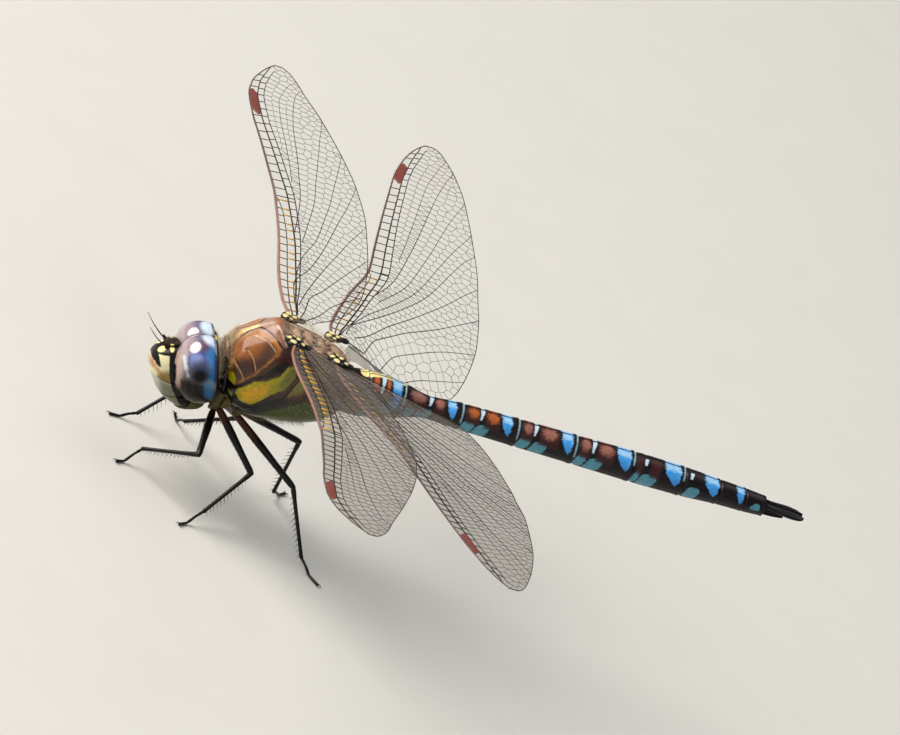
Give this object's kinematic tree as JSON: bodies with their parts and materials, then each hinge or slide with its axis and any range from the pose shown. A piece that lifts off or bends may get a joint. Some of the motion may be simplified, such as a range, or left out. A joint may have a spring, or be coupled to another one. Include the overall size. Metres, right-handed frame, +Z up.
{
  "type": "dragonfly",
  "caption": "Life-size dragonfly standing on its feet with wings spread, with large meeting eyes, a stout thorax and a long slender banded abdomen.",
  "frame": {"origin": "on the floor under the feet, below the middle of the model's box", "axes": "+Z up from the floor, +X towards the head, +Y towards the animal's left wings"},
  "size_m": [0.0622, 0.085, 0.0259],
  "materials": {
    "eye_lens": "gloss",
    "face_cuticle": "satin",
    "dark_cuticle": "satin",
    "thorax_cuticle": "satin, hairy",
    "abdomen_cuticle": "satin",
    "wing_membrane": "clear, glossy, veined"
  },
  "bodies": {
    "root": {"abdomen_1": "abdomen_cuticle", "abdomen_10": "abdomen_cuticle", "abdomen_2": "abdomen_cuticle", "abdomen_3": "abdomen_cuticle", "abdomen_4": "abdomen_cuticle", "abdomen_5": "abdomen_cuticle", "abdomen_6": "abdomen_cuticle", "abdomen_7": "abdomen_cuticle", "abdomen_8": "abdomen_cuticle", "abdomen_9": "abdomen_cuticle", "antenna_left": "dark_cuticle", "antenna_right": "dark_cuticle", "cercus_left": "dark_cuticle", "cercus_right": "dark_cuticle", "clypeus": "face_cuticle", "coxa_fore_left": "face_cuticle", "coxa_fore_right": "face_cuticle", "coxa_hind_left": "face_cuticle", "coxa_hind_right": "face_cuticle", "coxa_middle_left": "face_cuticle", "coxa_middle_right": "face_cuticle", "epiproct": "dark_cuticle", "eye_left": "eye_lens", "eye_right": "eye_lens", "femur_fore_left": "dark_cuticle", "femur_fore_right": "dark_cuticle", "femur_hind_left": "dark_cuticle", "femur_hind_right": "dark_cuticle", "femur_middle_left": "dark_cuticle", "femur_middle_right": "dark_cuticle", "forewing_left": "wing_membrane", "forewing_right": "wing_membrane", "frons": "face_cuticle", "head_capsule": "dark_cuticle", "hindwing_left": "wing_membrane", "hindwing_right": "wing_membrane", "labium": "face_cuticle", "labrum": "face_cuticle", "neck": "dark_cuticle", "prothorax": "thorax_cuticle", "tarsus_fore_left": "dark_cuticle", "tarsus_fore_right": "dark_cuticle", "tarsus_hind_left": "dark_cuticle", "tarsus_hind_right": "dark_cuticle", "tarsus_middle_left": "dark_cuticle", "tarsus_middle_right": "dark_cuticle", "thorax": "thorax_cuticle", "tibia_fore_left": "dark_cuticle", "tibia_fore_right": "dark_cuticle", "tibia_hind_left": "dark_cuticle", "tibia_hind_right": "dark_cuticle", "tibia_middle_left": "dark_cuticle", "tibia_middle_right": "dark_cuticle", "vertex": "dark_cuticle"}
  },
  "joints": []
}
